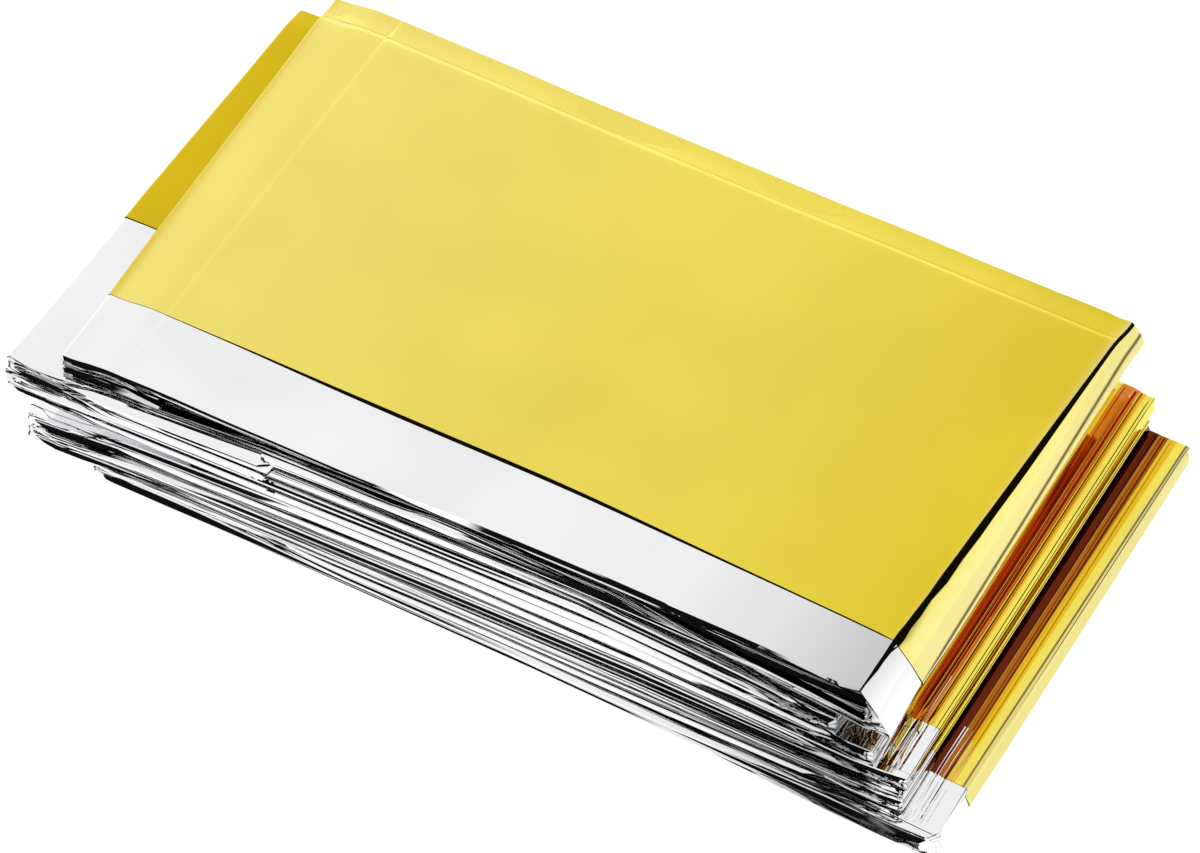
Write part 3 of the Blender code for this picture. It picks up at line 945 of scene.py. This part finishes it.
class NodeTree:
    """Adds nodes to a material or a world. An input is a socket of another node or a constant."""

    def __init__(self, owner):
        owner.use_nodes = True
        self.nodes = owner.node_tree.nodes
        self.links = owner.node_tree.links

    def add(self, kind, inputs, **settings):
        node = self.nodes.new(kind)
        for name, value in settings.items():
            setattr(node, name, value)
        for name, value in inputs.items():
            if isinstance(value, bpy.types.NodeSocket):
                self.links.new(value, node.inputs[name])
            else:
                node.inputs[name].default_value = value
        return node

    def math(self, operation, *values):
        return self.add("ShaderNodeMath", dict(enumerate(values)), operation=operation).outputs[0]

    def mix(self, factor, first, second, blend_type="MIX"):
        inputs = {"Factor": factor, "A": first, "B": second}
        node = self.add("ShaderNodeMix", inputs, data_type="RGBA", blend_type=blend_type)
        return node.outputs["Result"]

    def ramp(self, factor, stops):
        node = self.add("ShaderNodeValToRGB", {"Fac": factor})
        elements = node.color_ramp.elements
        while len(elements) < len(stops):
            elements.new(0.5)
        for element, (place, colour) in zip(elements, stops):
            element.position = place
            element.color = (*colour, 1.0)
        return node.outputs["Color"]

    def grey_ramp(self, factor, stops):
        return self.ramp(factor, [(place, (value, value, value)) for place, value in stops])

    def map_range(self, value, start, end, lowest=0.0):
        inputs = {"Value": value, "From Min": start, "From Max": end, "To Min": lowest}
        return self.add("ShaderNodeMapRange", inputs).outputs["Result"]

    def scaled(self, vector, by):
        node = self.add("ShaderNodeVectorMath", {0: vector, "Scale": by}, operation="SCALE")
        return node.outputs["Vector"]

    def parts_of(self, vector):
        node = self.add("ShaderNodeSeparateXYZ", {"Vector": vector})
        return node.outputs["X"], node.outputs["Y"], node.outputs["Z"]


def in_painted_light_region(tree, place, x_range, z_range):
    """1 inside one of the gold's regions of painted light and shade, and 0 elsewhere."""
    x, y, z = place
    slanted = tree.math("MULTIPLY_ADD", y, FOLD_SLANT, x)
    factors = []
    for value, edge, (low, high) in ((slanted, SIDE_EDGE, x_range), (z, LEVEL_EDGE, z_range)):
        factors.append(tree.map_range(value, (low - edge) * MM, low * MM))
        factors.append(tree.map_range(value, (high + edge) * MM, high * MM))
    product = factors[0]
    for factor in factors[1:]:
        product = tree.math("MULTIPLY", product, factor)
    return product


def film_material(name, colours_with_painted_light, roughness, cloudiness, painted_light_regions=()):
    """Metallised film: its colour with painted light and shade along X, regions of painted light and
    shade, and faint clouds in the coat.
    """
    material = bpy.data.materials.new(name)
    tree = NodeTree(material)
    coords = tree.add("ShaderNodeTexCoord", {}).outputs["Object"]
    place = tree.parts_of(coords)
    along = tree.map_range(place[0], -PAINTED_LIGHT_TO * MM, PAINTED_LIGHT_TO * MM)
    stops = [((x + PAINTED_LIGHT_TO) / (2 * PAINTED_LIGHT_TO), colour) for x, colour in colours_with_painted_light]
    colour = tree.ramp(along, stops)
    # regions of painted highlight and painted shade go over the colour
    for x_range, z_range, painted_colour in painted_light_regions:
        colour = tree.mix(in_painted_light_region(tree, place, x_range, z_range), colour, (*painted_colour, 1.0))
    noise_inputs = {"Vector": coords, "Scale": CLOUD_SCALE, "Detail": CLOUD_DETAIL}
    noise = tree.add("ShaderNodeTexNoise", noise_inputs).outputs["Fac"]
    clouds = tree.map_range(noise, CLOUDS_FROM, CLOUDS_TO, 1 - cloudiness)
    shader = tree.nodes["Principled BSDF"]
    shader.inputs["Metallic"].default_value = 1.0
    shader.inputs["Roughness"].default_value = roughness
    tree.links.new(tree.scaled(colour, clouds), shader.inputs["Base Color"])
    return material


# the gold carries painted highlights and painted shade, the silver painted shade
gold_film = film_material("gold_film", GOLD_WITH_PAINTED_LIGHT, GOLD_ROUGHNESS, GOLD_CLOUDINESS, GOLD_PAINTED_LIGHT_REGIONS)
silver_film = film_material("silver_film", SILVER_WITH_PAINTED_SHADE, SILVER_ROUGHNESS, SILVER_CLOUDINESS)
mesh.materials.append(gold_film)
mesh.materials.append(silver_film)

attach(film_object, "root")
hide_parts("foil_blanket")

# ---- Stage, light and camera ----
FLOOR_HALF = 2.0  # in metres, like DISTANCE and WIDTH_SEEN
FLOOR_LOOKS = {
    "Base Color": (0.2, 0.2, 0.2, 1.0),
    "Roughness": 0.8,
    "Specular IOR Level": 0.0,
    "Emission Color": (1.0, 1.0, 1.0, 1.0),
    "Emission Strength": 1.0,
}
floor_mesh = bpy.data.meshes.new("floor")
floor_corners = [(x * FLOOR_HALF, y * FLOOR_HALF, 0) for x, y in ((-1, -1), (1, -1), (1, 1), (-1, 1))]
floor_mesh.from_pydata(floor_corners, [], [(0, 1, 2, 3)])
floor = bpy.data.objects.new("floor", floor_mesh)
scene.collection.objects.link(floor)
floor_material = bpy.data.materials.new("floor")
floor_shader = NodeTree(floor_material).nodes["Principled BSDF"]
for name, value in FLOOR_LOOKS.items():
    floor_shader.inputs[name].default_value = value
floor_mesh.materials.append(floor_material)

# The studio. Azimuths turn from the right towards the back. The ramps go by height, from 0 at the
# horizon to 1 overhead, or by the share towards an azimuth.
BACK_AZIMUTH = math.radians(135)
SIDE_AZIMUTH = math.radians(52)
FRONT_TILT = 0.56  # how much higher the bright ceiling begins towards the front
BRIGHTNESS = 2.0
BACKDROP = (0.95, 0.95, 0.95, 1)

world = bpy.data.worlds.new("studio")
scene.world = world
studio = NodeTree(world)
direction = studio.add("ShaderNodeTexCoord", {}).outputs["Generated"]
right, back, up = studio.parts_of(direction)
right_squared = studio.math("MULTIPLY", right, right)
back_squared = studio.math("MULTIPLY", back, back)
level_length = studio.math("SQRT", studio.math("ADD", right_squared, back_squared))
level_length = studio.math("MAXIMUM", level_length, 0.001)


def share_towards(azimuth):
    """The cosine of the angle between a direction and an azimuth, seen from above."""
    right_part = studio.math("MULTIPLY", right, math.cos(azimuth))
    back_part = studio.math("MULTIPLY", back, math.sin(azimuth))
    return studio.math("DIVIDE", studio.math("ADD", right_part, back_part), level_length)


# all round: bright just above the floor, dark above that, and a bright ceiling
low_light = studio.grey_ramp(up, [(0.0, 0.62), (0.07, 0.62), (0.10, 0.003), (0.50, 0.003)])
front_part = studio.math("MINIMUM", back, 0.0)
ceiling_height = studio.math("MULTIPLY_ADD", front_part, FRONT_TILT, up)
ceiling = studio.grey_ramp(ceiling_height, [(0.0, 0.0), (0.50, 0.0), (0.58, 0.48), (1.0, 0.49)])
all_round = studio.mix(1.0, low_light, ceiling, "ADD")

# a broad bright panel at the back to the left, and a narrow one opposite
panel_light = studio.grey_ramp(up, [(0.0, 0.6), (0.25, 0.62), (0.42, 0.52), (0.70, 0.485)])
back_share = share_towards(BACK_AZIMUTH)
to_back = studio.math("MULTIPLY_ADD", back_share, 0.5, 0.5)
to_front = studio.math("MULTIPLY_ADD", back_share, -0.5, 0.5)
on_back_panel = studio.grey_ramp(to_back, [(0.0, 0.0), (0.66, 0.0), (0.76, 1.0), (1.0, 1.0)])
on_front_panel = studio.grey_ramp(to_front, [(0.0, 0.0), (0.955, 0.0), (0.985, 1.0), (1.0, 1.0)])
on_panels = studio.math("MAXIMUM", on_back_panel, on_front_panel)
with_panels = studio.mix(on_panels, all_round, panel_light)

# and a narrow one at the back to the right, higher up
side_share = share_towards(SIDE_AZIMUTH)
side_width = studio.grey_ramp(side_share, [(0.0, 0.0), (0.990, 0.0), (0.996, 0.46), (1.0, 0.46)])
side_height = studio.grey_ramp(up, [(0.0, 0.0), (0.30, 0.0), (0.36, 1.0), (0.72, 1.0)])
side_light = studio.math("MULTIPLY", side_width, side_height)
light = studio.scaled(studio.mix(1.0, with_panels, side_light, "LIGHTEN"), BRIGHTNESS)

seen_directly = studio.add("ShaderNodeLightPath", {}).outputs["Is Camera Ray"]
background = studio.nodes["Background"]
background.inputs["Strength"].default_value = 1.0
studio.links.new(studio.mix(seen_directly, light, BACKDROP), background.inputs["Color"])

scene.view_settings.view_transform = "Standard"
scene.cycles.max_bounces = 10
scene.cycles.glossy_bounces = 9
scene.cycles.diffuse_bounces = 3

# the camera looks down at the pack from the front right
AZIMUTH, ELEVATION = math.radians(28.7), math.radians(50.0)
DISTANCE = 6.0
WIDTH_SEEN = 0.17346
SENSOR_WIDTH = 36.0
AIM_X, AIM_FRONT, AIM_HEIGHT = 7.54, 13.4, 21.25  # a point on the top panel
aim = Vector(((AIM_X - MIDDLE_X) * MM, (MIDDLE_FRONT - AIM_FRONT) * MM, AIM_HEIGHT * MM))
level_part = math.cos(ELEVATION)
towards = Vector((math.sin(AZIMUTH) * level_part, -math.cos(AZIMUTH) * level_part, math.sin(ELEVATION)))
camera_data = bpy.data.cameras.new("camera")
camera_data.sensor_width = SENSOR_WIDTH
camera_data.lens = SENSOR_WIDTH * DISTANCE / WIDTH_SEEN
camera_data.clip_start = 0.5
camera = bpy.data.objects.new("camera", camera_data)
camera.location = aim + towards * DISTANCE
camera.rotation_euler = (-towards).to_track_quat("-Z", "Y").to_euler()
scene.collection.objects.link(camera)
bpy.context.scene.camera = camera
